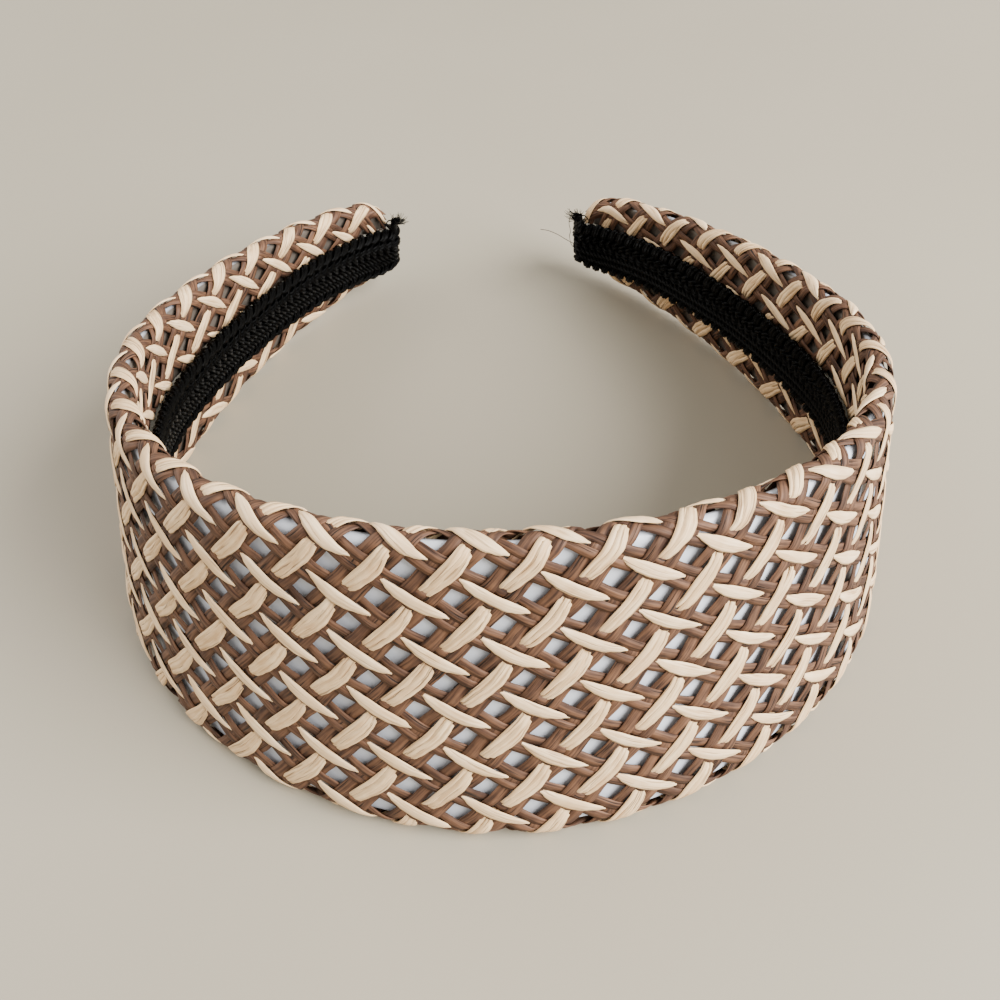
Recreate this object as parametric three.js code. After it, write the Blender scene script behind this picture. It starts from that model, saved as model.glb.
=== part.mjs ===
// A wide hard hair headband lying on its lower rim. Millimetres, +Z up, the crown at -Y and the
// two tips at +Y. It is a stiff core band wrapped in woven straw cloth: the cloth goes round both
// rims and ends in two hems on the inner face, where a braided ribbon covers the hems and the two
// lines of glue that hold them, and folds round both tips.
import * as THREE from 'three';

// Plan of the cover's outer face, one half of it from the crown to a tip: four tangent arcs.
const CROWN_RADIUS = 76.8;
const CROWN_LENGTH = 53.5;
const SHOULDER_RADIUS = 54.6;
const SHOULDER_LENGTH = 65.7;
const ARM_RADIUS = 134.4;
const ARM_LENGTH = 58.8;
const TIP_RADIUS = 40.1;
const TIP_LENGTH = 12.8;

// Width of the band, and how far each face leans inwards for each millimetre of height.
const CROWN_WIDTH = 58;
const TIP_WIDTH = 21.3;
const TAPER_POWER = 1.56;
const LEAN = 0.175;

// The tips are rounded: over a last stretch each rim comes in, until at the very end it stands only
// this far past the braid's edge.
const ROUND_LENGTH = 9;
const END_MARGIN = 0.9;

// Layers, from the outer face inwards.
const COVER_THICKNESS = 1.5;
const CORE_THICKNESS = 2.2;
const CLEARANCE = 0.3;
const BRAID_THICKNESS = 2;

// What lies on the inner face.
const BRAID_WIDTH = 13.6;
const HEM_OVERLAP = 3;
const GLUE_WIDTH = 3;

// The braid's fold round a tip, and its tab on the outer face.
const TAB_LENGTH = 7;
const FOLD_RADIUS = 1.6;

// How deep the straw is pressed flat where the lower rim lies on a surface.
const REST_DEPTH = 0.25;

// How finely curves are cut into straight pieces.
const STATION_SPACING = 6;
const RIM_STEPS = 8;
const EDGE_STEPS = 6;
const FOLD_STEPS = 3;

const ARCS = [
  { radius: CROWN_RADIUS, length: CROWN_LENGTH },
  { radius: SHOULDER_RADIUS, length: SHOULDER_LENGTH },
  { radius: ARM_RADIUS, length: ARM_LENGTH },
  { radius: TIP_RADIUS, length: TIP_LENGTH },
];
const HALF_LENGTH = ARCS.reduce((sum, arc) => sum + arc.length, 0);
const THICKNESS = 2 * COVER_THICKNESS + 2 * CLEARANCE + CORE_THICKNESS;
const RIM_RADIUS = THICKNESS / 2;
const CORE_DEPTH = COVER_THICKNESS + CLEARANCE;
const CHANNEL_DEPTH = CORE_DEPTH + CORE_THICKNESS + CLEARANCE;
const BRAID_DEPTH = THICKNESS + CLEARANCE;
const HEM_EDGE = BRAID_WIDTH / 2 - HEM_OVERLAP;
const ROUND_DEPTH = (TIP_WIDTH - BRAID_WIDTH) / 2 - END_MARGIN;

// Where the plan is after a length along it, and which way it heads. A length past the tip goes
// straight on.
function planAt(along) {
  const side = Math.sign(along);
  let left = Math.abs(along);
  let heading = 0;
  const point = new THREE.Vector2(0, 0);
  for (const arc of ARCS) {
    const run = Math.min(left, arc.length);
    const turned = heading + run / arc.radius;
    point.x += arc.radius * (Math.sin(turned) - Math.sin(heading));
    point.y += arc.radius * (Math.cos(heading) - Math.cos(turned));
    heading = turned;
    left -= run;
  }
  point.x += left * Math.cos(heading);
  point.y += left * Math.sin(heading);
  return { x: side * point.x, y: point.y, heading: side * heading };
}

// Half of the band's width after a length along it.
function halfWidth(along) {
  const part = Math.min(Math.abs(along) / HALF_LENGTH, 1);
  const late = Math.max(1 - (HALF_LENGTH * (1 - part)) / ROUND_LENGTH, 0);
  const tapered = TIP_WIDTH + (CROWN_WIDTH - TIP_WIDTH) * (1 - part ** TAPER_POWER);
  return tapered / 2 - ROUND_DEPTH * late ** 2;
}

// A point of the band: a length along it, a depth inwards from the outer face, and a height.
function place(along, depth, height) {
  const plan = planAt(along);
  const inwards = depth + LEAN * height;
  return new THREE.Vector3(
    plan.x - inwards * Math.sin(plan.heading),
    plan.y + inwards * Math.cos(plan.heading),
    height,
  );
}

// Lengths along the band, from one tip to the other, at which sections are placed.
function stationsTo(end) {
  const count = 2 * Math.ceil(end / STATION_SPACING);
  return Array.from({ length: count + 1 }, (_, i) => end * ((2 * i) / count - 1));
}

// The lower rim's centre line, and the slope of the plane that the band rests on: it touches the
// rim at the crown and, further back, at the two points where that slope is least.
function rimCentre(along) {
  return place(along, RIM_RADIUS, RIM_RADIUS - halfWidth(along));
}

function restSlope() {
  const crown = rimCentre(0);
  const slopes = stationsTo(HALF_LENGTH).filter((along) => along > 0).map((along) => {
    const centre = rimCentre(along);
    return (centre.z - crown.z) / (centre.y - crown.y);
  });
  return Math.min(...slopes);
}

const REST_ANGLE = Math.atan(restSlope());
const UP = new THREE.Vector3(0, -Math.sin(REST_ANGLE), Math.cos(REST_ANGLE));
const REST_HEIGHT = rimCentre(0).dot(UP) - RIM_RADIUS + REST_DEPTH;

// Straw below the plane of rest is pressed up to it.
function pressFlat(point) {
  const below = REST_HEIGHT - point.dot(UP);
  return below > 0 ? point.addScaledVector(UP, below) : point;
}

// A closed body through rings of points, each ring the same outline at another station.
function loft(rings) {
  const size = rings[0].length;
  const positions = rings.flat().flatMap((point) => [point.x, point.y, point.z]);
  const faces = [];
  for (let ring = 0; ring + 1 < rings.length; ring += 1) {
    for (let i = 0; i < size; i += 1) {
      const a = ring * size + i;
      const b = ring * size + ((i + 1) % size);
      faces.push(a, b, a + size, b, b + size, a + size);
    }
  }
  return { positions, faces };
}

// The outline's own triangles close the loft at both of its ends.
function capped(outlineAt, stations, finish = (point) => point) {
  const outlines = stations.map(outlineAt);
  const rings = outlines.map((outline, i) => outline.map(
    (corner) => finish(place(stations[i], corner.x, corner.y)),
  ));
  const { positions, faces } = loft(rings);
  const last = (rings.length - 1) * rings[0].length;
  for (const [a, b, c] of THREE.ShapeUtils.triangulateShape(outlines[0], [])) {
    faces.push(a, c, b, last + a, last + b, last + c);
  }
  return solid(positions, faces);
}

function solid(positions, faces) {
  const geometry = new THREE.BufferGeometry();
  geometry.setAttribute('position', new THREE.Float32BufferAttribute(positions, 3));
  geometry.setIndex(faces);
  geometry.computeVertexNormals();
  return geometry;
}

// Points of an arc in the section's plane: x is a depth and y is a height.
function arcPoints(x, y, radius, from, to, steps) {
  return Array.from({ length: steps + 1 }, (_, i) => {
    const angle = from + ((to - from) * i) / steps;
    return new THREE.Vector2(x + radius * Math.cos(angle), y + radius * Math.sin(angle));
  });
}

// A strip's section with round edges, from one depth to another.
function stripSection(half, near, far) {
  const radius = (far - near) / 2;
  const middle = near + radius;
  return [
    ...arcPoints(middle, half - radius, radius, 0, Math.PI, EDGE_STEPS),
    ...arcPoints(middle, radius - half, radius, Math.PI, 2 * Math.PI, EDGE_STEPS),
  ];
}

// The cover's section: a skin round the outer face and both rims, open between its two hems.
function coverSection(along) {
  const centre = halfWidth(along) - RIM_RADIUS;
  const inner = RIM_RADIUS - COVER_THICKNESS;
  const far = THICKNESS - COVER_THICKNESS;
  return [
    new THREE.Vector2(THICKNESS, HEM_EDGE),
    ...arcPoints(RIM_RADIUS, centre, RIM_RADIUS, 0, Math.PI, RIM_STEPS),
    ...arcPoints(RIM_RADIUS, -centre, RIM_RADIUS, Math.PI, 2 * Math.PI, RIM_STEPS),
    new THREE.Vector2(THICKNESS, -HEM_EDGE),
    new THREE.Vector2(far, -HEM_EDGE),
    ...arcPoints(RIM_RADIUS, -centre, inner, 2 * Math.PI, Math.PI, RIM_STEPS),
    ...arcPoints(RIM_RADIUS, centre, inner, Math.PI, 0, RIM_STEPS),
    new THREE.Vector2(far, HEM_EDGE),
  ];
}

function coreSection(along) {
  return stripSection(halfWidth(along) - CORE_DEPTH, CORE_DEPTH, CORE_DEPTH + CORE_THICKNESS);
}

// A line of glue beside a hem's edge, in the channel between the core and the braid.
function glueSection(side) {
  const high = side * (HEM_EDGE - CLEARANCE);
  const low = high - side * GLUE_WIDTH;
  const [bottom, top] = [Math.min(high, low), Math.max(high, low)];
  return [
    new THREE.Vector2(CHANNEL_DEPTH, bottom),
    new THREE.Vector2(THICKNESS, bottom),
    new THREE.Vector2(THICKNESS, top),
    new THREE.Vector2(CHANNEL_DEPTH, top),
  ];
}

// The braid's middle surface round one tip, as lengths past the tip and depths, with the
// direction across it: a tab on the outer face, a fold over the end, then the inner face.
function foldPath() {
  const outer = -CLEARANCE - BRAID_THICKNESS / 2;
  const inner = BRAID_DEPTH + BRAID_THICKNESS / 2;
  const turn = (x, from) => Array.from({ length: FOLD_STEPS + 1 }, (_, i) => {
    const angle = from + (Math.PI / 2) * (i / FOLD_STEPS);
    const across = new THREE.Vector2(Math.cos(angle), Math.sin(angle));
    return { point: across.clone().multiplyScalar(FOLD_RADIUS).add(x), across };
  });
  return [
    { point: new THREE.Vector2(-TAB_LENGTH, outer), across: new THREE.Vector2(0, -1) },
    ...turn(new THREE.Vector2(0, outer + FOLD_RADIUS), -Math.PI / 2),
    ...turn(new THREE.Vector2(0, inner - FOLD_RADIUS), 0),
  ];
}

// The braid: a strip of one thickness and width swept from tab to tab along the inner face.
function braidGeometry() {
  const half = BRAID_WIDTH / 2;
  const inner = BRAID_DEPTH + BRAID_THICKNESS / 2;
  const end = foldPath().map(({ point, across }) => (
    { along: HALF_LENGTH + point.x, depth: point.y, alongStep: across.x, depthStep: across.y }
  ));
  const mirrored = end.map((step) => ({ ...step, along: -step.along, alongStep: -step.alongStep }));
  const middle = stationsTo(HALF_LENGTH).slice(1, -1).map((along) => (
    { along, depth: inner, alongStep: 0, depthStep: 1 }
  ));
  const rings = [...mirrored, ...middle, ...end.reverse()].map((step) => {
    const corner = (out, height) => place(
      step.along + (out * step.alongStep * BRAID_THICKNESS) / 2,
      step.depth + (out * step.depthStep * BRAID_THICKNESS) / 2,
      height,
    );
    return [corner(1, -half), corner(1, half), corner(-1, half), corner(-1, -half)];
  });
  const { positions, faces } = loft(rings);
  const last = 4 * (rings.length - 1);
  faces.push(0, 2, 1, 0, 3, 2, last, last + 1, last + 2, last, last + 2, last + 3);
  return solid(positions, faces);
}

const material = (color, roughness) => new THREE.MeshStandardMaterial({
  color, roughness, metalness: 0,
});
const WHITE_PLASTIC = material(0xdfe3ea, 0.35);
const STRAW = material(0xb39a7c, 0.8);
const BLACK_BRAID = material(0x0c0c10, 0.6);
const CLEAR_GLUE = material(0xe4dfcf, 0.3);

function piece(name, geometry, finish) {
  const mesh = new THREE.Mesh(geometry, finish);
  mesh.name = name;
  return mesh;
}

const tipStations = [ROUND_LENGTH / 4, ROUND_LENGTH / 2].flatMap(
  (back) => [back - HALF_LENGTH, HALF_LENGTH - back],
);
const stations = [...stationsTo(HALF_LENGTH), ...tipStations].sort((a, b) => a - b);
const band = new THREE.Group();
band.add(
  piece('core_band', capped(coreSection, stations), WHITE_PLASTIC),
  piece('woven_cover', capped(coverSection, stations, pressFlat), STRAW),
  piece('braid_trim', braidGeometry(), BLACK_BRAID),
  piece('glue_line_upper', capped(() => glueSection(1), stations), CLEAR_GLUE),
  piece('glue_line_lower', capped(() => glueSection(-1), stations), CLEAR_GLUE),
);

// The band is tipped until its plane of rest is level, and its box stands on the origin.
band.rotation.x = -REST_ANGLE;
const headband = new THREE.Group();
headband.add(band);
const box = new THREE.Box3().setFromObject(headband, true);
band.position.set(0, -(box.min.y + box.max.y) / 2, -box.min.z);

export default headband;
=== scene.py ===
"""A wide hard hair headband lying on its lower rim, dressed for looks.

A white core band is wrapped in openwork cloth woven of cream and brown straw, and a plaited black
ribbon runs along the inner face and folds round both tips. Sizes are millimetres until a mesh is
made; meshes are metres, in the row frame.
"""
from __future__ import annotations

import logging
import math
from dataclasses import dataclass, field, replace
from enum import Enum
from typing import Any, Sequence, Union

import bpy
import numpy as np
from mathutils import Matrix, Vector


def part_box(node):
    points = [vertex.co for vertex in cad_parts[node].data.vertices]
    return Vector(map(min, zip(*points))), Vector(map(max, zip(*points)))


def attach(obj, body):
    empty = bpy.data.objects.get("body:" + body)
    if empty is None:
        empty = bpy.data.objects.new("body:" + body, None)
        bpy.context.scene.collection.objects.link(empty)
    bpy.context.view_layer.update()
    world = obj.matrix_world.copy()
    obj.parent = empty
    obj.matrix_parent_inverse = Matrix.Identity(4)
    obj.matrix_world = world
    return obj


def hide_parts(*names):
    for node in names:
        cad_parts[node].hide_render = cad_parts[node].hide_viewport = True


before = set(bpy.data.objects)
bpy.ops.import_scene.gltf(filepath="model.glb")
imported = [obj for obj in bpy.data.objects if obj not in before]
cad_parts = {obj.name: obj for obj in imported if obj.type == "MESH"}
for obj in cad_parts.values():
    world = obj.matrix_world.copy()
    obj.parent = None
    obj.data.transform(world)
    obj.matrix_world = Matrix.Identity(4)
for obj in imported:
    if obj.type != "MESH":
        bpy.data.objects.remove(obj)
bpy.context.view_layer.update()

LOG = logging.getLogger("headband")
MM = 0.001
BODY = "root"
STRAND_PLACE = "strand_place"

Colour = tuple[float, float, float, float]
Number = Union[int, float]


def tone(red: Number, green: Number, blue: Number) -> Colour:
    """A display colour with parts from 0 to 255, as the linear colour that shaders take.

    Args:
        red: The red part.
        green: The green part.
        blue: The blue part.

    Returns:
        The linear red, green and blue, with full alpha.
    """
    parts = (red / 255, green / 255, blue / 255)
    linear = [p / 12.92 if p <= 0.04045 else ((p + 0.055) / 1.055) ** 2.4 for p in parts]
    return (linear[0], linear[1], linear[2], 1.0)


def eased(at: np.ndarray, places: Sequence[float], values: Sequence[float]) -> np.ndarray:
    """Values between knots, level at each knot and smooth between them.

    Args:
        at: Where the values are wanted.
        places: The knots' places, in rising order.
        values: The value at each knot.

    Returns:
        One value for each place asked for.
    """
    knots, held = np.asarray(places, float), np.asarray(values, float)
    right = np.clip(np.searchsorted(knots, at, side="right"), 1, len(knots) - 1)
    span = knots[right] - knots[right - 1]
    part = np.clip((at - knots[right - 1]) / span, 0, 1)
    return held[right - 1] + (held[right] - held[right - 1]) * part * part * (3 - 2 * part)


# ---------------------------------------------------------------------------------------------
# Shader building
# ---------------------------------------------------------------------------------------------


class Wire:
    """A shader socket that carries one number, on which sums are written as plain expressions."""

    def __init__(self, tree: bpy.types.NodeTree, socket: bpy.types.NodeSocket) -> None:
        """Wraps an output socket of a node in that tree."""
        self.tree = tree
        self.socket = socket

    def _sum(self, operation: str, first: Any, second: Any) -> "Wire":
        """One Math node.

        Args:
            operation: The Math node's operation.
            first: A Wire or a number.
            second: A Wire or a number.

        Returns:
            The node's result.
        """
        node = self.tree.nodes.new("ShaderNodeMath")
        node.operation = operation
        for place, value in zip(node.inputs, (first, second)):
            if isinstance(value, Wire):
                self.tree.links.new(value.socket, place)
            else:
                place.default_value = float(value)
        return Wire(self.tree, node.outputs[0])

    def __add__(self, other: Any) -> "Wire":
        """self + other"""
        return self._sum("ADD", self, other)

    def __radd__(self, other: Any) -> "Wire":
        """other + self"""
        return self._sum("ADD", other, self)

    def __sub__(self, other: Any) -> "Wire":
        """self - other"""
        return self._sum("SUBTRACT", self, other)

    def __rsub__(self, other: Any) -> "Wire":
        """other - self"""
        return self._sum("SUBTRACT", other, self)

    def __mul__(self, other: Any) -> "Wire":
        """self * other"""
        return self._sum("MULTIPLY", self, other)

    def __rmul__(self, other: Any) -> "Wire":
        """other * self"""
        return self._sum("MULTIPLY", other, self)


class Shader:
    """A material's node tree, with the few ways of adding to it that the finishes need."""

    def __init__(self, name: str) -> None:
        """Starts a material of that name with an empty tree."""
        self.material = bpy.data.materials.new(name)
        self.material.use_nodes = True
        self.tree = self.material.node_tree
        self.tree.nodes.clear()

    def node(
        self,
        kind: str,
        settings: dict[str, Any] | None = None,
        inputs: dict[Any, Any] | None = None,
    ) -> bpy.types.Node:
        """Adds a node, sets it up, and fills or links its sockets.

        Args:
            kind: The node's type.
            settings: Properties of the node, set first.
            inputs: What each input socket gets, by name or number: a Wire, a socket or a value.

        Returns:
            The node.
        """
        node = self.tree.nodes.new(kind)
        for name, value in (settings or {}).items():
            setattr(node, name, value)
        for name, value in (inputs or {}).items():
            if isinstance(value, Wire):
                value = value.socket
            if isinstance(value, bpy.types.NodeSocket):
                self.tree.links.new(value, node.inputs[name])
            else:
                node.inputs[name].default_value = value
        return node

    def wire(self, node: bpy.types.Node, output: Any = 0) -> Wire:
        """A node's output as a Wire."""
        return Wire(self.tree, node.outputs[output])

    def mixed(self, share: Any, first: Any, second: Any) -> bpy.types.NodeSocket:
        """A blend of two colours.

        Args:
            share: How much of the second colour there is, a Wire or a number.
            first: A colour or a colour socket.
            second: A colour or a colour socket.

        Returns:
            The blend's colour socket.
        """
        factor, colour_a, colour_b, result = 0, 6, 7, 2
        node = self.node(
            "ShaderNodeMix",
            {"data_type": "RGBA", "clamp_factor": True},
            {factor: share, colour_a: first, colour_b: second},
        )
        return node.outputs[result]

    def noise(self, vector: Any, scale: float, detail: float = 2.0) -> Wire:
        """Noise from 0 to 1.

        Args:
            vector: The socket that gives the place.
            scale: How fine the noise is.
            detail: How many finer layers it has.

        Returns:
            The noise's value.
        """
        node = self.node(
            "ShaderNodeTexNoise", inputs={"Vector": vector, "Scale": scale, "Detail": detail}
        )
        return self.wire(node, "Fac")

    def spread(self, value: Wire, ends: tuple[float, float]) -> Wire:
        """A value stretched to run from 0 to 1 between two ends, and held there.

        Args:
            value: The Wire to stretch.
            ends: The value that becomes 0 and the one that becomes 1.

        Returns:
            The stretched value.
        """
        node = self.node(
            "ShaderNodeMapRange",
            {"clamp": True, "interpolation_type": "SMOOTHSTEP"},
            {"Value": value, "From Min": ends[0], "From Max": ends[1]},
        )
        return self.wire(node)

    def bump(self, height: Wire, depth: float, strength: float = 1.0) -> bpy.types.NodeSocket:
        """A normal made rough by a height.

        Args:
            height: The height, from 0 to 1.
            depth: How deep that is, in metres.
            strength: How strongly it shows.

        Returns:
            The normal's socket.
        """
        node = self.node(
            "ShaderNodeBump", inputs={"Height": height, "Distance": depth, "Strength": strength}
        )
        return node.outputs["Normal"]

    def joined(self, x: Any, y: Any, z: Any) -> bpy.types.NodeSocket:
        """Three Wires or numbers as one vector."""
        return self.node("ShaderNodeCombineXYZ", inputs={0: x, 1: y, 2: z}).outputs[0]

    def strand_place(self) -> tuple[Wire, Wire, Wire]:
        """The surface's place on its strand: across it, along it, and the strand's own seed."""
        place = self.node("ShaderNodeAttribute", {"attribute_name": STRAND_PLACE})
        parts = self.node("ShaderNodeSeparateXYZ", inputs={0: place.outputs["Vector"]})
        return self.wire(parts, 0), self.wire(parts, 1), self.wire(parts, 2)

    def object_place(self) -> bpy.types.NodeSocket:
        """The surface's place on its own object, in metres."""
        return self.node("ShaderNodeTexCoord").outputs["Object"]

    def close(self, **sockets: Any) -> bpy.types.Material:
        """Ends the tree with a Principled surface.

        Args:
            **sockets: The surface's inputs, with _ where a socket's name has a space.

        Returns:
            The finished material.
        """
        inputs = {name.replace("_", " "): value for name, value in sockets.items()}
        surface = self.node("ShaderNodeBsdfPrincipled", inputs=inputs)
        self.node("ShaderNodeOutputMaterial", inputs={"Surface": surface.outputs[0]})
        return self.material


@dataclass(frozen=True)
class StrawFinish:
    """Split straw: long fibres, darker seams between them, and each strand a little different."""

    name: str
    light: Colour
    mid: Colour
    seam: Colour
    roughness: float
    seam_strength: float
    contrast: float

    # Fineness of each noise across and along the strand, in layers per millimetre.
    FIBRES = (2.9, 0.13)
    SEAMS = (3.0, 0.12)
    PATCHES = (0.35, 0.35)
    SEAM_SHIFT = 9.0
    PATCH_SHIFT = 4.0
    SEED_STEP = 37.0

    SEAM_ENDS = (0.60, 0.70)
    PATCH_ENDS = (0.3, 0.7)
    STREAK_SHARE = 0.65
    DULL_SEEDS = (0.55, 1.0)
    DULLING = 0.30
    STREAK_ROUGHNESS = 0.15
    FIBRE_RELIEF = 0.7
    SEAM_RELIEF = 0.6
    FIBRE_DEPTH = 0.00018
    GLOSS = 0.3

    def build(self) -> bpy.types.Material:
        """Makes the material.

        Returns:
            The straw material.
        """
        s = Shader(self.name)
        across, along, seed = s.strand_place()

        def grain(fineness: tuple[float, float], shift: float, detail: float = 2.0) -> Wire:
            """Noise that is stretched along the strand."""
            place = s.joined(
                across * fineness[0], along * fineness[1], seed * self.SEED_STEP + shift
            )
            return s.noise(place, scale=1.0, detail=detail)

        fibres = grain(self.FIBRES, 0.0, detail=3.0)
        patches = s.spread(grain(self.PATCHES, self.PATCH_SHIFT), self.PATCH_ENDS)
        seam = s.spread(grain(self.SEAMS, self.SEAM_SHIFT), self.SEAM_ENDS) * self.seam_strength
        streak = s.spread(fibres, (0.5 - self.contrast, 0.5 + self.contrast))
        share = streak * self.STREAK_SHARE + patches * (1 - self.STREAK_SHARE)
        body = s.mixed(share, self.mid, self.light)
        shade = s.mixed(s.spread(seed, self.DULL_SEEDS) * self.DULLING, body, self.mid)
        height = fibres * self.FIBRE_RELIEF + (1 - seam) * self.SEAM_RELIEF
        return s.close(
            Base_Color=s.mixed(seam, shade, self.seam),
            Roughness=self.roughness + (1 - streak) * self.STREAK_ROUGHNESS,
            Normal=s.bump(height, self.FIBRE_DEPTH),
            Specular_IOR_Level=self.GLOSS,
        )


@dataclass(frozen=True)
class PlasticFinish:
    """Smooth moulded plastic with a faint ripple, slight handling marks, and painted shade on its
    inner face.
    """

    name: str
    colour: Colour
    worn: Colour
    # inner: the colour of the painted shade on the inner face, which lies in shadow.
    inner: Colour
    roughness: float

    RIPPLE_SCALE = 90.0
    RIPPLE_SHARE = 0.15
    RIPPLE_DEPTH = 0.0003
    RIPPLE_STRENGTH = 0.4
    MARK_SCALE = 900.0
    MARK_ENDS = (0.45, 0.75)
    MARK_SHARE = 0.25
    MARK_ROUGHNESS = 0.12

    def build(self) -> bpy.types.Material:
        """Makes the material.

        Returns:
            The plastic material.
        """
        s = Shader(self.name)
        place = s.object_place()
        ripple = s.noise(place, self.RIPPLE_SCALE)
        marks = s.spread(s.noise(place, self.MARK_SCALE, detail=4.0), self.MARK_ENDS)
        wear = marks * self.MARK_SHARE + ripple * self.RIPPLE_SHARE
        # Painted shade: the inner face is darkened towards the inner colour, which stands in for
        # the shadow that falls there.
        inner_shade_share = s.strand_place()[0]
        return s.close(
            Base_Color=s.mixed(inner_shade_share, s.mixed(wear, self.colour, self.worn), self.inner),
            Roughness=self.roughness + marks * self.MARK_ROUGHNESS,
            Normal=s.bump(ripple, self.RIPPLE_DEPTH, self.RIPPLE_STRENGTH),
        )


@dataclass(frozen=True)
class ThreadFinish:
    """Twisted thread: slanted plies along each cord, and a few paler fibres."""

    name: str
    dark: Colour
    lit: Colour
    roughness: float
    gloss: float

    TWIST = 5.5
    PLIES = 2.2
    SEED_STEP = 11.0
    PLY_SCALE = 0.35
    PLY_RELIEF = 0.8
    PLY_ROUGHNESS = 0.2
    PLY_DEPTH = 0.00014
    FIBRE_SCALE = 4.0
    FIBRE_RELIEF = 0.3
    LIT_ENDS = (0.5, 0.8)
    LIT_SHARE = 0.6

    def build(self) -> bpy.types.Material:
        """Makes the material.

        Returns:
            The thread material.
        """
        s = Shader(self.name)
        across, along, seed = s.strand_place()
        slant = s.joined(along * self.TWIST + across * self.PLIES, seed * self.SEED_STEP, 0.0)
        plies = s.node(
            "ShaderNodeTexWave",
            {"bands_direction": "X"},
            {"Vector": slant, "Scale": self.PLY_SCALE, "Distortion": 1.0, "Detail": 1.0},
        )
        ply = s.wire(plies, "Fac")
        fibres = s.noise(slant, self.FIBRE_SCALE, detail=3.0)
        lit = s.spread(fibres, self.LIT_ENDS) * self.LIT_SHARE
        height = ply * self.PLY_RELIEF + fibres * self.FIBRE_RELIEF
        return s.close(
            Base_Color=s.mixed(lit, self.dark, self.lit),
            Roughness=self.roughness + (1 - ply) * self.PLY_ROUGHNESS,
            Normal=s.bump(height, self.PLY_DEPTH),
            Specular_IOR_Level=self.gloss,
        )


@dataclass(frozen=True)
class GlueFinish:
    """A bead of clear glue, with soft waves and small bubbles."""

    name: str
    colour: Colour
    bubble: Colour
    roughness: float

    WAVE_SCALE = 400.0
    WAVE_DEPTH = 0.0002
    WAVE_ROUGHNESS = 0.2
    BUBBLE_SCALE = 2500.0
    BUBBLE_ENDS = (0.6, 0.7)
    BUBBLE_SHARE = 0.4
    CLEARNESS = 0.6

    def build(self) -> bpy.types.Material:
        """Makes the material.

        Returns:
            The glue material.
        """
        s = Shader(self.name)
        place = s.object_place()
        waves = s.noise(place, self.WAVE_SCALE)
        bubbles = s.spread(s.noise(place, self.BUBBLE_SCALE, detail=1.0), self.BUBBLE_ENDS)
        return s.close(
            Base_Color=s.mixed(bubbles * self.BUBBLE_SHARE, self.colour, self.bubble),
            Roughness=self.roughness + waves * self.WAVE_ROUGHNESS,
            Normal=s.bump(waves, self.WAVE_DEPTH),
            Transmission_Weight=self.CLEARNESS,
        )


@dataclass(frozen=True)
class FloorFinish:
    """A plain pale floor, very slightly polished."""

    name: str
    colour: Colour
    shade: Colour
    roughness: float

    CLOUD_SCALE = 6.0
    CLOUD_ENDS = (0.3, 0.7)
    CLOUD_SHARE = 0.5
    CLOUD_ROUGHNESS = 0.1

    def build(self) -> bpy.types.Material:
        """Makes the material.

        Returns:
            The floor material.
        """
        s = Shader(self.name)
        cloud = s.noise(s.object_place(), self.CLOUD_SCALE, detail=4.0)
        share = s.spread(cloud, self.CLOUD_ENDS) * self.CLOUD_SHARE
        return s.close(
            Base_Color=s.mixed(share, self.colour, self.shade),
            Roughness=self.roughness + cloud * self.CLOUD_ROUGHNESS,
        )


# ---------------------------------------------------------------------------------------------
# Mesh building
# ---------------------------------------------------------------------------------------------


class MeshPile:
    """Swept tubes and lofts gathered into one mesh, each point with its place on its strand."""

    def __init__(self) -> None:
        """Starts with nothing."""
        self.points: list[np.ndarray] = []
        self.places: list[np.ndarray] = []
        self.quads: list[np.ndarray] = []
        self.caps: list[list[int]] = []
        self.count = 0

    def sweep(self, rings: np.ndarray, places: np.ndarray) -> None:
        """Adds a closed tube through rings of points, with a cap at each end.

        A lone ring makes no tube, and is left out.

        Args:
            rings: Points in millimetres, by ring, place in the ring, and axis.
            places: Across, along and seed for each point, in the same order.
        """
        length, size = rings.shape[:2]
        if length < 2:
            return
        first = self.count + (np.arange(length - 1) * size)[:, None]
        here = np.arange(size)[None, :]
        following = (here + 1) % size
        corners = (first + here, first + following, first + following + size, first + here + size)
        self.quads.append(np.stack(corners, -1).reshape(-1, 4))
        last = self.count + (length - 1) * size
        self.caps.append([self.count + i for i in reversed(range(size))])
        self.caps.append([last + i for i in range(size)])
        self.points.append(rings.reshape(-1, 3) * MM)
        self.places.append(places.reshape(-1, 3))
        self.count += length * size

    def triangles(self) -> int:
        """How many triangles the mesh has."""
        return 2 * sum(len(q) for q in self.quads) + sum(len(c) - 2 for c in self.caps)

    def _content(self, points: np.ndarray, quads: np.ndarray) -> float:
        """Six times the space inside the tubes, below zero where their faces look inwards.

        Args:
            points: All the points.
            quads: All the tubes' four-cornered faces.

        Returns:
            The signed content.
        """
        fans = [(cap[0], cap[i], cap[i + 1]) for cap in self.caps for i in range(1, len(cap) - 1)]
        corners = np.concatenate([quads[:, [0, 1, 2]], quads[:, [0, 2, 3]], np.array(fans)])
        a, b, c = (points[corners[:, i]] for i in range(3))
        return float(np.einsum("ij,ij->", a, np.cross(b, c)))

    def make(self, name: str, material: bpy.types.Material) -> bpy.types.Object:
        """Makes the object, with faces that look outwards.

        Args:
            name: The piece's name.
            material: What it wears.

        Returns:
            The new object.
        """
        points = np.concatenate(self.points)
        quads = np.concatenate(self.quads)
        faces = quads.tolist() + self.caps
        if self._content(points, quads) < 0:
            faces = [face[::-1] for face in faces]
        mesh = bpy.data.meshes.new(name)
        mesh.from_pydata(points.tolist(), [], faces)
        held = mesh.attributes.new(STRAND_PLACE, "FLOAT_VECTOR", "POINT")
        held.data.foreach_set("vector", np.concatenate(self.places).astype(np.float32).ravel())
        mesh.polygons.foreach_set("use_smooth", [True] * len(mesh.polygons))
        mesh.materials.append(material)
        mesh.update()
        thing = bpy.data.objects.new(name, mesh)
        bpy.context.scene.collection.objects.link(thing)
        return thing


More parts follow.
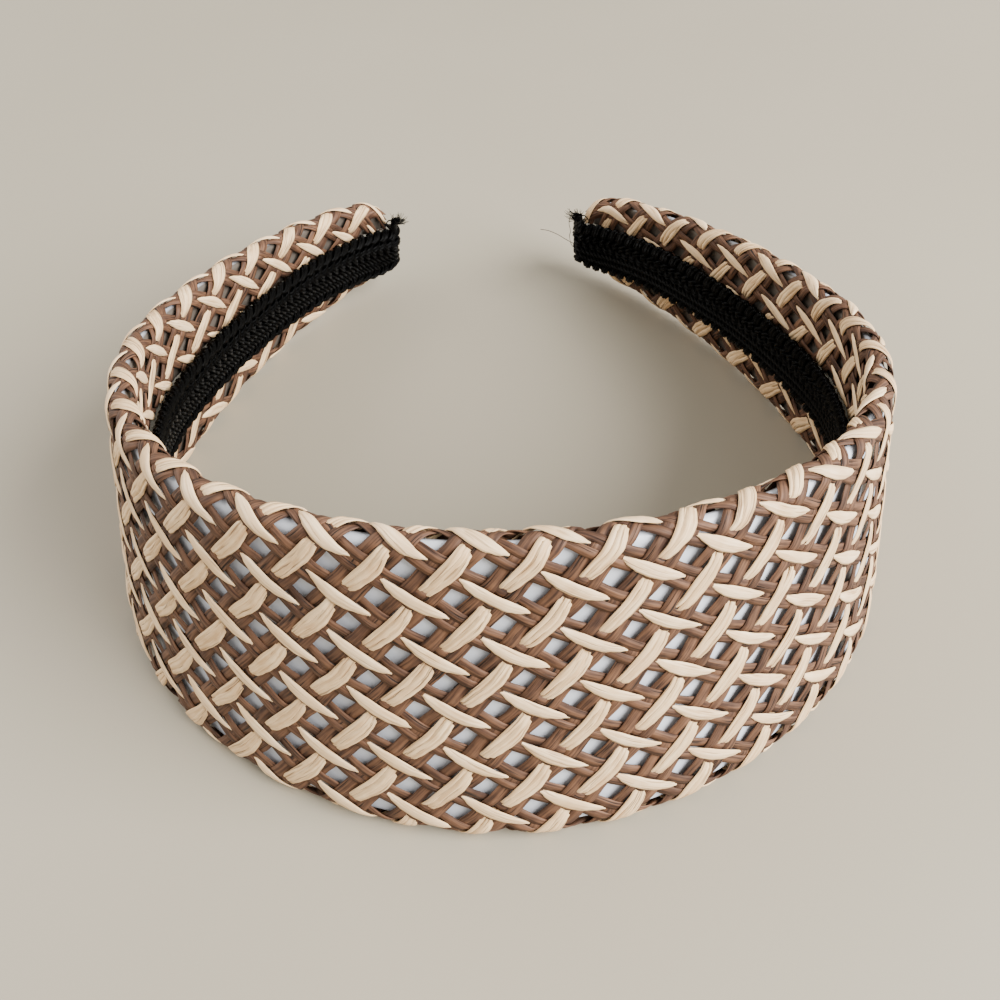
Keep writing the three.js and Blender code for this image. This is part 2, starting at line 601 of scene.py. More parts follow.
def rings_round(line: np.ndarray, radius: np.ndarray | float, sides: int,
                aside: tuple[float, float, float], way: int = 1) -> np.ndarray:
    """Rings of points round a line.

    Args:
        line: The line's points.
        radius: The rings' radius, one for all or one for each point.
        sides: How many points a ring has.
        aside: A direction that the line never takes.
        way: 1 or -1, the way round that a ring's points go.

    Returns:
        Points by ring, place in the ring, and axis.
    """
    heading = np.gradient(line, axis=0)
    heading /= np.linalg.norm(heading, axis=1)[:, None]
    first = np.cross(heading, aside)
    first /= np.linalg.norm(first, axis=1)[:, None]
    second = way * np.cross(heading, first)
    turn = math.tau * np.arange(sides) / sides
    ring = (first[:, None] * np.cos(turn)[None, :, None]
            + second[:, None] * np.sin(turn)[None, :, None])
    return line[:, None] + ring * np.reshape(radius, (-1, 1, 1))


def thread_places(line: np.ndarray, sides: int, seed: float) -> np.ndarray:
    """Each ring point's place on its thread.

    Args:
        line: The thread's line.
        sides: How many points a ring has.
        seed: A number that sets the thread's texture apart.

    Returns:
        Parts of a turn, lengths along the thread, and the seed, by ring and place in the ring.
    """
    part = np.arange(sides) / sides
    run = np.cumsum(np.concatenate([[0.0], np.linalg.norm(np.diff(line, axis=0), axis=1)]))
    return np.stack(np.broadcast_arrays(part[None, :], run[:, None], np.full((1, 1), seed)), -1)


def hand_over(piece: bpy.types.Object, finish: str, *nodes: str) -> None:
    """Puts a piece on the band's one body, hides the CAD nodes that it stands for, and logs it with
    its material slot's name.

    Args:
        piece: The finished object.
        finish: The material slot's name, which is logged.
        *nodes: The CAD nodes that it stands for.
    """
    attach(piece, BODY)
    if nodes:
        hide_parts(*nodes)
    LOG.info("%s: %d faces, slot %s, for %s", piece.name, len(piece.data.polygons), finish, nodes)


# ---------------------------------------------------------------------------------------------
# The band's shape
# ---------------------------------------------------------------------------------------------


@dataclass(frozen=True)
class Arc:
    """One bend of the band's plan."""

    radius: float
    length: float


@dataclass
class BandShape:
    """The band's outer face in plan, its width, its lean and how it stands, in millimetres."""

    arcs: tuple[Arc, ...] = (Arc(76.8, 53.5), Arc(54.6, 65.7), Arc(134.4, 58.8), Arc(40.1, 12.8))
    crown_width: float = 58.0
    tip_width: float = 21.3
    taper_power: float = 1.56
    round_length: float = 9.0
    round_depth: float = 2.95
    lean: float = 0.175
    thickness: float = 5.8
    core_depth: float = 1.8
    core_thickness: float = 2.2
    station_spacing: float = 6.0
    station_edge_steps: int = 6
    rest_angle: float = field(init=False)
    shift: np.ndarray = field(init=False)

    def __post_init__(self) -> None:
        """Finds how the band tips onto its plane of rest, and where the frame has it."""
        self.rest_angle = self._rest_angle()
        self.shift = np.zeros(3)
        along = self.stations(self.half_length, self.station_spacing)[:, None]
        section = self.core_section(along, self.station_edge_steps)
        core = self.to_row(self.place(along, *section))
        low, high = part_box("core_band")
        wanted = (np.array(low) + np.array(high)) / 2 / MM
        self.shift = wanted - (core.min((0, 1)) + core.max((0, 1))) / 2

    @property
    def half_length(self) -> float:
        """The length of the outer face from the crown to a tip."""
        return sum(arc.length for arc in self.arcs)

    @property
    def rim_radius(self) -> float:
        """The radius of the cover's rims."""
        return self.thickness / 2

    def half_width(self, along: np.ndarray) -> np.ndarray:
        """Half of the band's width at a length along it."""
        part = np.minimum(np.abs(along) / self.half_length, 1)
        late = np.maximum(1 - self.half_length * (1 - part) / self.round_length, 0)
        grown = (self.crown_width - self.tip_width) * (1 - part**self.taper_power)
        return (self.tip_width + grown) / 2 - self.round_depth * late**2

    def near_tip(self, along: np.ndarray, run: tuple[float, float]) -> np.ndarray:
        """How far a change near the tips has gone, from 0 to 1.

        Args:
            along: Lengths along the band.
            run: Where the change starts and ends, counted outwards from a tip.

        Returns:
            The part that is done at each length.
        """
        ends = (self.half_length + run[0], self.half_length + run[1])
        return eased(np.abs(along), ends, (0.0, 1.0))

    def place(self, along: np.ndarray, depth: np.ndarray, height: np.ndarray) -> np.ndarray:
        """Points of the upright band.

        Args:
            along: Lengths along the outer face from the crown, negative to the left.
            depth: Depths inwards from the outer face.
            height: Heights from the middle of the band.

        Returns:
            The points, with the axes last.
        """
        along, depth, height = np.broadcast_arrays(along, depth, height)
        left = np.abs(along).astype(float)
        heading = np.zeros_like(left)
        x, y = np.zeros_like(left), np.zeros_like(left)
        for arc in self.arcs:
            run = np.minimum(left, arc.length)
            turned = heading + run / arc.radius
            x += arc.radius * (np.sin(turned) - np.sin(heading))
            y += arc.radius * (np.cos(heading) - np.cos(turned))
            heading = turned
            left = left - run
        x += left * np.cos(heading)
        y += left * np.sin(heading)
        side = np.where(along < 0, -1.0, 1.0)
        inwards = depth + self.lean * height
        return np.stack(
            [side * (x - inwards * np.sin(heading)), y + inwards * np.cos(heading), height], -1
        )

    def stations(self, end: float, spacing: float) -> np.ndarray:
        """Lengths along the band from one side to the other, an even number of steps apart."""
        count = 2 * math.ceil(end / spacing)
        return np.linspace(-end, end, count + 1)

    def _rest_angle(self) -> float:
        """The tilt of the plane that the lower rim rests on.

        Returns:
            The angle in radians.
        """
        along = self.stations(self.half_length, self.station_spacing)
        along = np.concatenate([[0.0], along[along > 1e-6]])
        centre = self.place(along, self.rim_radius, self.rim_radius - self.half_width(along))
        slopes = (centre[1:, 2] - centre[0, 2]) / (centre[1:, 1] - centre[0, 1])
        return math.atan(float(slopes.min()))

    def to_row(self, points: np.ndarray) -> np.ndarray:
        """Points of the upright band, tipped onto the plane of rest and moved to the row frame."""
        cos, sin = math.cos(self.rest_angle), math.sin(self.rest_angle)
        y, z = points[..., 1], points[..., 2]
        tipped = np.stack([points[..., 0], y * cos + z * sin, z * cos - y * sin], -1)
        return tipped + self.shift

    def core_section(self, along: np.ndarray, edge_steps: int,
                     face_steps: int = 1) -> tuple[np.ndarray, np.ndarray]:
        """Outlines of the core band.

        Args:
            along: Lengths along the band, as a column.
            edge_steps: How many steps round each rounded edge.
            face_steps: How many steps across each face.

        Returns:
            Depths and heights, by length along the band and place in the outline.
        """
        radius = self.core_thickness / 2
        middle = self.core_depth + radius
        half = self.half_width(along) - self.core_depth - radius
        turn = np.linspace(0, math.pi, edge_steps + 1)[None, :]
        across = np.linspace(1, -1, face_steps + 1)[None, 1:-1]
        face = np.zeros_like(across)
        depth = np.concatenate([
            middle + radius * np.cos(turn),
            middle - radius + face,
            middle - radius * np.cos(turn),
            middle + radius + face,
        ], 1)
        height = np.concatenate([
            half + radius * np.sin(turn),
            half * across,
            -half - radius * np.sin(turn),
            -half * across,
        ], 1)
        return np.broadcast_to(depth, height.shape), height


@dataclass
class CoreBand:
    """The hard white band inside the cover, as one smooth moulding, with painted shade on its inner
    face.
    """

    shape: BandShape
    spacing: float = 1.5
    face_steps: int = 10
    edge_steps: int = 10
    tip_gap: float = 1.6
    # How deep the painted shade on the inner face takes to fade in, in millimetres.
    inner_shade_fade: float = 0.66

    def build(self, finish: PlasticFinish) -> None:
        """Builds the band and hands it over.

        Args:
            finish: Its plastic.
        """
        shape = self.shape
        along = shape.stations(shape.half_length - self.tip_gap, self.spacing)[:, None]
        depth, height = shape.core_section(along, self.edge_steps, self.face_steps)
        middle = shape.core_depth + shape.core_thickness / 2
        # The share of painted shade at each point: none on the outer face, full on the inner face.
        # It reaches the plastic through the strand place.
        inner = eased(depth, (middle, middle + self.inner_shade_fade), (0.0, 1.0))
        places = np.stack([inner, np.zeros_like(inner), np.zeros_like(inner)], -1)
        pile = MeshPile()
        pile.sweep(shape.to_row(shape.place(along, depth, height)), places)
        hand_over(pile.make("core_band_moulding", finish.build()), "white_plastic", "core_band")


# ---------------------------------------------------------------------------------------------
# The woven cover
# ---------------------------------------------------------------------------------------------


class Direction(Enum):
    """The two ways that strands run over the outer face."""

    RISING = "rising"
    FALLING = "falling"


@dataclass(frozen=True)
class Profile:
    """A strand's course over two crossings, from the one that its bundle's cream strand tops.

    Places are in crossings. Levels are millimetres from the cloth's middle, and the edges are
    offsets from the bundle's own line, in crossings of the other direction.
    """

    level: tuple[tuple[float, float], ...]
    low_edge: tuple[tuple[float, float], ...]
    high_edge: tuple[tuple[float, float], ...]
    half_thickness: float
    crown: float
    sides: int
    share: tuple[float, float] = (0.0, 1.0)
    arch: float = 0.0

    @staticmethod
    def _repeat(knots: Sequence[tuple[float, float]], at: np.ndarray) -> np.ndarray:
        """Knot values over a course that repeats every two crossings.

        Args:
            knots: Places from -1 to 1 and values.
            at: Where the values are wanted.

        Returns:
            One value for each place.
        """
        wrapped = (at + 1) % 2 - 1
        places = [p for p, _ in knots]
        values = [v for _, v in knots]
        places = [places[-1] - 2, *places, places[0] + 2]
        values = [values[-1], *values, values[0]]
        return eased(wrapped, places, values)

    def at(self, place: np.ndarray) -> tuple[np.ndarray, np.ndarray, np.ndarray]:
        """Level, low edge and high edge of the strand's share of its course at each place.

        Args:
            place: Places along the strand, counted from a crossing that cream tops.

        Returns:
            The three values for each place.
        """
        level, low, high = (
            self._repeat(knots, place) for knots in (self.level, self.low_edge, self.high_edge)
        )
        width, off_middle = high - low, sum(self.share) - 1
        return (
            level - self.arch * off_middle**2,
            low + width * self.share[0],
            low + width * self.share[1],
        )


RISING_CREAM = Profile(
    level=((-0.92, -0.30), (-0.80, -0.06), (-0.70, 0.28), (-0.45, 0.44), (-0.1, 0.48), (0.2, 0.48),
           (0.45, 0.42), (0.60, 0.26), (0.72, -0.08), (0.84, -0.28)),
    low_edge=((-0.95, -0.05), (-0.74, -0.085), (-0.3, -0.088), (0.1, -0.08), (0.6, -0.075),
              (0.9, -0.05)),
    high_edge=((-0.95, 0.11), (-0.82, 0.145), (-0.70, 0.185), (-0.40, 0.222), (-0.12, 0.262),
               (0.14, 0.276), (0.38, 0.248), (0.6, 0.21), (0.78, 0.17), (0.95, 0.12)),
    half_thickness=0.12,
    crown=0.03,
    sides=6,
    arch=0.12,
)
SLIVERS = tuple(
    replace(RISING_CREAM, share=share) for share in ((0.0, 0.44), (0.26, 0.76), (0.58, 1.0))
)
FALLING_CREAM = Profile(
    level=((-0.85, -0.30), (-0.74, -0.16), (-0.64, 0.10), (-0.5, 0.32), (-0.28, 0.46), (0.0, 0.50),
           (0.28, 0.46), (0.52, 0.32), (0.67, 0.10), (0.77, -0.16), (0.88, -0.30)),
    low_edge=((-0.9, -0.09), (-0.66, -0.065), (-0.42, -0.155), (-0.24, -0.205), (0.0, -0.222),
              (0.27, -0.205), (0.5, -0.13), (0.70, -0.03), (0.9, -0.08)),
    high_edge=((-0.9, 0.03), (-0.66, 0.0), (-0.42, 0.06), (-0.22, 0.090), (0.25, 0.092),
               (0.5, 0.07), (0.70, 0.03), (0.9, 0.03)),
    half_thickness=0.15,
    crown=0.11,
    sides=10,
)
RISING_BROWN_LEVEL = ((-0.84, 0.20), (-0.185, -0.20), (-0.035, 0.20), (0.14, -0.20), (0.75, 0.16),
                      (0.95, -0.22))
FALLING_BROWN_LEVEL = ((-0.91, -0.22), (-0.71, 0.17), (-0.174, -0.20), (0.05, 0.20),
                       (0.249, -0.20), (0.826, 0.20))
BROWN_HALF_THICKNESS = 0.15
BROWN_CROWN = 0.02


def brown_profile(level: tuple[tuple[float, float], ...], low: float, high: float) -> Profile:
    """A brown strand of constant width.

    Args:
        level: Its levels over two crossings.
        low: Its lower edge's offset from the bundle's line.
        high: Its upper edge's offset.

    Returns:
        The strand's course.
    """
    edges = {"low_edge": ((0.0, low),), "high_edge": ((0.0, high),)}
    return Profile(level, **edges, half_thickness=BROWN_HALF_THICKNESS, crown=BROWN_CROWN, sides=6)


RISING_BROWNS = (
    brown_profile(RISING_BROWN_LEVEL, -0.328, -0.050),
    brown_profile(RISING_BROWN_LEVEL, 0.124, 0.386),
)
FALLING_BROWNS = (
    brown_profile(FALLING_BROWN_LEVEL, -0.318, -0.070),
    brown_profile(FALLING_BROWN_LEVEL, 0.024, 0.292),
)


@dataclass
class Weave:
    """Where the cloth's strands run: two sets of lines over the outer face, in millimetres.

    A line of the rising set is numbered by the falling lines that it crosses, and the reverse.
    """

    origin: tuple[float, float] = (-2.589, 15.627)
    rising: tuple[float, float] = (4.2166, 5.3831)
    falling: tuple[float, float] = (7.0244, -4.2867)
    along_pull: tuple[float, float, float] = (-0.0034, -0.0124, 0.0321)
    across_pull: tuple[float, float, float] = (0.0746, -0.0676, -0.0591)
    pull_reach: tuple[float, float] = (48.0, 40.0)

    def point(self, rise: np.ndarray, fall: np.ndarray) -> tuple[np.ndarray, np.ndarray]:
        """Where a numbered place of the weave lies on the cloth.

        Args:
            rise: Crossings along the rising lines.
            fall: Crossings along the falling lines.

        Returns:
            Lengths along and across the cloth.
        """
        along = self.origin[0] + self.rising[0] * rise + self.falling[0] * fall
        across = self.origin[1] + self.rising[1] * rise + self.falling[1] * fall
        near_along = self.pull_reach[0] * np.tanh(along / self.pull_reach[0])
        near_across = self.pull_reach[1] * np.tanh(across / self.pull_reach[1])
        m, k = self.number(near_along, near_across)
        terms = (m * k, m * m, k * k)
        pulls = [sum(c * t for c, t in zip(p, terms)) for p in (self.along_pull, self.across_pull)]
        return along + pulls[0], across + pulls[1]

    def number(self, along: np.ndarray, across: np.ndarray) -> tuple[np.ndarray, np.ndarray]:
        """The reverse of point, without the pulls."""
        x, y = along - self.origin[0], across - self.origin[1]
        size = self.rising[0] * self.falling[1] - self.rising[1] * self.falling[0]
        return (
            (x * self.falling[1] - y * self.falling[0]) / size,
            (y * self.rising[0] - x * self.rising[1]) / size,
        )


@dataclass
class WovenCover:
    """The straw cloth, wrapped round both rims, as every strand over and under its neighbours."""

    shape: BandShape
    weave: Weave
    middle: float = 1.98
    roll_radius: float = 2.5
    hem_edge: float = 4.0
    hem_drop: float = 2.4
    hem_run: tuple[float, float] = (-26.4, -2.4)
    tip_gap: float = 0.4
    floor_gap: float = 0.02
    reach: int = 46
    lines: int = 44
    steps: int = 13
    section_power: float = 0.8
    slip: float = 0.055
    width_change: float = 0.10
    line_change: float = 0.014
    level_change: float = 0.04
    tilt: float = 0.09
    seed: int = 5

    def cloth_point(self, along: np.ndarray, across: np.ndarray, lift: np.ndarray) -> np.ndarray:
        """A point of the cloth on the band.

        Args:
            along: Length along the cloth.
            across: Length across it, from the middle of the outer face, round a rim.
            lift: Height out of the middle of the band's thickness.

        Returns:
            The point in the row frame.
        """
        shape = self.shape
        centre = shape.half_width(along) - shape.rim_radius
        beyond = np.abs(across) - centre
        turn = np.clip(beyond / self.roll_radius, 0, math.pi)
        past = np.maximum(beyond - math.pi * self.roll_radius, 0)
        face = np.where(beyond < 0, np.abs(across), centre + lift * np.sin(turn) - past)
        depth = shape.rim_radius - lift * np.cos(turn)
        points = shape.to_row(shape.place(along, depth, np.sign(across) * face))
        lowest = self.floor_gap * (1 + lift - self.middle)
        points[..., 2] = np.maximum(points[..., 2], lowest)
        return points

    def _inside(self, along: np.ndarray, across: np.ndarray) -> np.ndarray:
        """Whether places lie on the cloth, between its hems and its ends."""
        centre = self.shape.half_width(along) - self.shape.rim_radius
        ends = self.shape.half_length - self.tip_gap
        lower = self.hem_drop * self.shape.near_tip(along, self.hem_run)
        hem = self.hem_edge - lower * (across > 0)
        reach = 2 * centre + math.pi * self.roll_radius - hem
        return (np.abs(along) < ends) & (np.abs(across) < reach)

    def _strand(self, pile: MeshPile, direction: Direction, line: int, profile: Profile,
                slip: float, chance: np.random.RandomState) -> None:
        """Adds one strand, wherever it lies on the cloth.

        Args:
            pile: What it is added to.
            direction: Which way it runs.
            line: Its bundle's number.
            profile: Its course.
            slip: How far its course may slide along it, in crossings.
            chance: The source of random numbers.
        """
        rising = direction is Direction.RISING
        at = np.arange(2 * self.reach * self.steps + 1) / self.steps - self.reach
        knots = np.arange(4 * self.reach + 1) / 2 - self.reach

        def wander(size: float) -> np.ndarray:
            """A slow random change along the strand."""
            return eased(at, knots, chance.uniform(-size, size, len(knots)))

        def on_cloth(run: np.ndarray, offset: np.ndarray) -> tuple[np.ndarray, np.ndarray]:
            """Places along and beside the strand, as lengths along and across the cloth."""
            return self.weave.point(*((run, offset) if rising else (offset, run)))

        tops = 0 if rising else 1
        phase = at - 0.5 - ((line + tops) % 2)
        level, low_edge, high_edge = profile.at(phase + wander(slip))
        width = (high_edge - low_edge) * (1 + wander(self.width_change))
        centre = line + 0.5 + (high_edge + low_edge) / 2 + wander(self.line_change)
        level = level + wander(self.level_change)
        tilt = wander(self.tilt)
        seed = chance.uniform()

        turn = math.tau * (np.arange(profile.sides) + 0.5) / profile.sides
        side = np.sign(np.cos(turn)) * np.abs(np.cos(turn)) ** self.section_power
        up = np.sin(turn) * profile.half_thickness + profile.crown * (0.5 - side**2)
        beside = width[:, None] * side[None, :] / 2
        lift = self.middle + level[:, None] + up[None, :] + tilt[:, None] * side[None, :]
        run = np.broadcast_to(at[:, None], beside.shape)
        along, across = on_cloth(run, centre[:, None] + beside)
        pitch, other = self._pitches(rising)
        places = np.stack([beside * other, run * pitch, np.full(beside.shape, seed)], -1)
        inside = self._inside(*on_cloth(at, centre))
        edges = np.flatnonzero(np.diff(np.concatenate([[0], inside.astype(int), [0]])))
        for start, stop in zip(edges[::2], edges[1::2]):
            part = slice(start, stop)
            pile.sweep(self.cloth_point(along[part], across[part], lift[part]), places[part])

    def _pitches(self, rising: bool) -> tuple[float, float]:
        """The distance from crossing to crossing along a line, and between lines."""
        own = math.hypot(*(self.weave.rising if rising else self.weave.falling))
        other = math.hypot(*(self.weave.falling if rising else self.weave.rising))
        return own, other

    def _family(self, direction: Direction, profiles: Sequence[Profile], slip: float,
                seed: int) -> MeshPile:
        """All the strands of one direction and colour.

        Args:
            direction: Which way they run.
            profiles: Their courses, one for each strand of a bundle.
            slip: How far a strand's course may slide along it, in crossings.
            seed: The start of their random numbers.

        Returns:
            The strands.
        """
        pile = MeshPile()
        chance = np.random.RandomState(seed)
        for line in range(-self.lines, self.lines + 1):
            for profile in profiles:
                self._strand(pile, direction, line, profile, slip, chance)
        return pile

    def build(self, cream: StrawFinish, split: StrawFinish, brown: StrawFinish) -> None:
        """Builds the families of strands and hands them over.

        Args:
            cream: The smooth cream straw's finish.
            split: The finish of the cream straw that has split along its fibres.
            brown: The brown straw's finish.
        """
        cream_look, split_look, brown_look = cream.build(), split.build(), brown.build()
        rising, falling = Direction.RISING, Direction.FALLING
        slivers = [
            (f"straw_cream_rising_{number}", rising, (sliver,), self.slip, split_look)
            for number, sliver in enumerate(SLIVERS, start=1)
        ]
        plan = [
            *slivers,
            ("straw_cream_falling", falling, (FALLING_CREAM,), 0.0, cream_look),
            ("straw_brown_rising", rising, RISING_BROWNS, 0.0, brown_look),
            ("straw_brown_falling", falling, FALLING_BROWNS, 0.0, brown_look),
        ]
        for number, (name, direction, profiles, slip, look) in enumerate(plan):
            pile = self._family(direction, profiles, slip, self.seed + number)
            finish = "brown_straw" if look is brown_look else "cream_straw"
            LOG.info("%s has %d triangles", name, pile.triangles())
            hand_over(pile.make(name, look), finish, "woven_cover")


# ---------------------------------------------------------------------------------------------
# The plaited ribbon
# ---------------------------------------------------------------------------------------------


@dataclass(frozen=True)
class Coil:
    """A row of loops wound across the ribbon's edge, each loop of a few cords side by side.

    The outer cords' loops are smaller than the middle one's. Loops swell and slip at random.
    """

    centre: float
    reach: float
    pitch: float
    cords: int
    cord_radius: float
    steps: int = 14
    bulge: float = 0.85
    floor: float = -0.35
    swell: tuple[float, float] = (0.86, 1.10)
    slip: float = 0.12
    outer_shrink: float = 0.20
    cord_spacing: float = 1.5


@dataclass(frozen=True)
class Rope:
    """A row of cords twisted round one another along the ribbon, which strays up and down."""

    centre: float
    reach: float
    pitch: float
    cord_radius: float
    strands: int = 3
    lift: float = 0.10
    flatness: float = 0.8
    stray: float = 0.1
    stray_length: float = 5.3


@dataclass(frozen=True)
class Plait:
    """A row of three strands laid over one another, each strand a pair of cords."""

    centre: float = 1.35
    pitch: float = 6.6
    strands: int = 3
    cord_radius: float = 0.47
    cord_gap: float = 0.42
    sway: float = 1.25
    sway_change: float = 0.10
    sway_length: float = 7.3
    lift: float = 0.1
    wave: float = 0.55
    wave_change: float = 0.08
    wave_length: float = 3.1


@dataclass(frozen=True)
class Web:
    """The flat web that the rows are sewn to."""

    margin: float = 1.0
    end_gap: float = 0.3
    spacing: float = 1.5
    sides: int = 16
    section_power: float = 0.35
    lift: float = -0.25
    half_thickness: float = 0.45
    seed: float = 0.5


@dataclass
class BraidTrim:
    """The black ribbon: coiled edges, a row of plait and two ropes, folded round both tips."""

    shape: BandShape
    inner_depth: float = 7.1
    outer_depth: float = -1.3
    fold_radius: float = 1.6
    tab_length: float = 7.0
    half_width: float = 6.8
    coils: tuple[Coil, ...] = (Coil(4.85, 1.55, 2.75, 3, 0.44), Coil(-5.35, 1.05, 2.75, 3, 0.42))
    ropes: tuple[Rope, ...] = (Rope(-1.45, 0.66, 3.9, 0.48), Rope(-3.35, 0.62, 3.3, 0.46))
    plait: Plait = Plait()
    web: Web = Web()
    step: float = 0.45
    cord_sides: int = 5
    tip_tuck: float = 0.12
    tuck_run: tuple[float, float] = (-5.0, 2.0)
    corner_tuck: float = 0.13
    corner_run: tuple[float, float] = (-2.0, 2.0)
    tab_tuck: float = 0.40
    tab_run: tuple[float, float] = (1.5, 8.0)
    tip_drop: float = 1.4
    drop_run: tuple[float, float] = (-26.0, -2.0)
    seed: int = 11

    ASIDE = (0.23, 0.11, 0.97)

    def half_path(self) -> float:
        """The ribbon's length from the crown to the end of a tab."""
        return self.shape.half_length + sum(self.turns()) + self.tab_length

    def turns(self) -> tuple[float, float, float]:
        """The lengths of the first turn, the run over the end, and the second turn."""
        quarter = self.fold_radius * math.pi / 2
        return quarter, self.inner_depth - self.outer_depth - 2 * self.fold_radius, quarter

    def path(self, at: np.ndarray) -> tuple[np.ndarray, np.ndarray, np.ndarray, np.ndarray]:
        """The ribbon's middle surface.

        Args:
            at: Lengths along the ribbon from the crown.

        Returns:
            Lengths along the band, depths, and the two parts of the direction off the surface.
        """
        end, radius = self.shape.half_length, self.fold_radius
        first, over, second = self.turns()
        gone = np.abs(at) - end
        a = np.clip(gone / radius, 0, math.pi / 2)
        b = np.clip((gone - first - over) / radius, 0, math.pi / 2)
        run = np.clip(gone - first, 0, over)
        back = np.maximum(gone - first - over - second, 0)
        along = np.minimum(np.abs(at), end) + radius * np.sin(a) - radius * (1 - np.cos(b)) - back
        depth = self.inner_depth - radius * (1 - np.cos(a)) - run - radius * np.sin(b)
        turn = a + b
        side = np.where(at < 0, -1.0, 1.0)
        return side * along, depth, side * np.sin(turn), np.cos(turn)

    def points(self, at: np.ndarray, height: np.ndarray, lift: np.ndarray) -> np.ndarray:
        """Points of the ribbon in the row frame.

        Args:
            at: Lengths along the ribbon.
            height: Heights across it.
            lift: How far they stand off its middle surface.

        Returns:
            The points, with the axes last.
        """
        along, depth, along_step, depth_step = self.path(at)
        shape = self.shape
        tuck = self.tip_tuck * shape.near_tip(at, self.tuck_run)
        tuck = tuck + self.corner_tuck * shape.near_tip(at, self.corner_run) * (height < 0)
        tuck = tuck + self.tab_tuck * shape.near_tip(at, self.tab_run) * (height > 0)
        drop = self.tip_drop * shape.near_tip(at, self.drop_run)
        return shape.to_row(shape.place(
            along + lift * along_step, depth + lift * depth_step, height * (1 - tuck) - drop
        ))

    def _cord(self, pile: MeshPile, line: tuple[np.ndarray, np.ndarray, np.ndarray],
              radius: float, seed: float) -> None:
        """Adds one cord along the ribbon.

        Args:
            pile: What it is added to.
            line: Lengths along the ribbon, heights and lifts of its middle line.
            radius: The cord's radius.
            seed: A number that sets its texture apart.
        """
        middle = np.stack(line, -1)
        tube = rings_round(middle, radius, self.cord_sides, self.ASIDE, way=-1)
        rings = self.points(tube[..., 0], tube[..., 1], tube[..., 2])
        pile.sweep(rings, thread_places(middle[:, :2], self.cord_sides, seed))

    def _coil(self, pile: MeshPile, coil: Coil, chance: np.random.RandomState) -> None:
        """Adds one coiled edge.

        Args:
            pile: What it is added to.
            coil: Its sizes.
            chance: The source of random numbers.
        """
        end = self.half_path()
        turns = int(2 * end / coil.pitch)
        turn = np.arange(turns * coil.steps + 1) / coil.steps
        knots = np.arange(2 * turns + 1) / 2
        swell = eased(turn, knots, chance.uniform(*coil.swell, len(knots)))
        slip = eased(turn, knots, chance.uniform(-coil.slip, coil.slip, len(knots)))
        phase = math.tau * turn
        for number in range(coil.cords):
            off_middle = number - (coil.cords - 1) / 2
            size = swell * (1 - coil.outer_shrink * abs(off_middle))
            shift = off_middle * coil.cord_spacing * coil.cord_radius
            at = -end + turn * coil.pitch + shift + slip
            height = coil.centre + coil.reach * size * np.cos(phase)
            lift = np.maximum(coil.bulge * size * np.sin(phase), coil.floor)
            self._cord(pile, (at, height, lift), coil.cord_radius, chance.uniform())

    def _row(self) -> np.ndarray:
        """Even lengths along the whole ribbon, for a rope or the plait."""
        end = self.half_path()
        return np.linspace(-end, end, 2 * int(end / self.step) + 1)

    def _rope(self, pile: MeshPile, rope: Rope, chance: np.random.RandomState) -> None:
        """Adds one rope.

        Args:
            pile: What it is added to.
            rope: Its sizes.
            chance: The source of random numbers.
        """
        at = self._row()
        middle = rope.centre + rope.stray * np.sin(at / rope.stray_length)
        for strand in range(rope.strands):
            phase = math.tau * (at / rope.pitch + strand / rope.strands)
            height = middle + rope.reach * np.sin(phase)
            lift = rope.lift + rope.reach * rope.flatness * np.cos(phase)
            self._cord(pile, (at, height, lift), rope.cord_radius, chance.uniform())

    def _plait(self, pile: MeshPile, chance: np.random.RandomState) -> None:
        """Adds the row of plait.

        Args:
            pile: What it is added to.
            chance: The source of random numbers.
        """
        at, plait = self._row(), self.plait
        for strand in range(plait.strands):
            phase = math.tau * (strand / plait.strands - at / plait.pitch)
            sway = plait.sway * (1 + plait.sway_change * np.sin(at / plait.sway_length + strand))
            middle = plait.centre + sway * np.sin(phase)
            change = plait.wave_change * np.sin(at / plait.wave_length + strand)
            lift = plait.lift + plait.wave * np.sin(2 * phase) + change
            for way in (-1, 1):
                line = (at, middle + way * plait.cord_gap, lift)
                self._cord(pile, line, plait.cord_radius, chance.uniform())

    def _web(self) -> MeshPile:
        """The web, as one closed strip."""
        web = self.web
        end = self.half_path() - web.end_gap
        at = np.linspace(-end, end, 2 * int(end / web.spacing) + 1)[:, None]
        turn = math.tau * (np.arange(web.sides) + 0.5) / web.sides
        side = np.sign(np.cos(turn)) * np.abs(np.cos(turn)) ** web.section_power
        height = (self.half_width - web.margin) * side[None, :]
        lift = web.lift + web.half_thickness * np.sin(turn)[None, :]
        places = np.stack(np.broadcast_arrays(height, at, np.full((1, 1), web.seed)), -1)
        pile = MeshPile()
        pile.sweep(self.points(at, height, lift), places)
        return pile

    def build(self, finish: ThreadFinish) -> None:
        """Builds the ribbon and hands it over.

        Args:
            finish: Its thread.
        """
        look = finish.build()
        chance = np.random.RandomState(self.seed)
        edges, middle = MeshPile(), MeshPile()
        for coil in self.coils:
            self._coil(edges, coil, chance)
        for rope in self.ropes:
            self._rope(middle, rope, chance)
        self._plait(middle, chance)
        for name, pile in (("braid_coiled_edges", edges), ("braid_middle_rows", middle)):
            LOG.info("%s has %d triangles", name, pile.triangles())
            hand_over(pile.make(name, look), "black_braid", "braid_trim")
        hand_over(self._web().make("braid_web", look), "black_braid", "braid_trim")


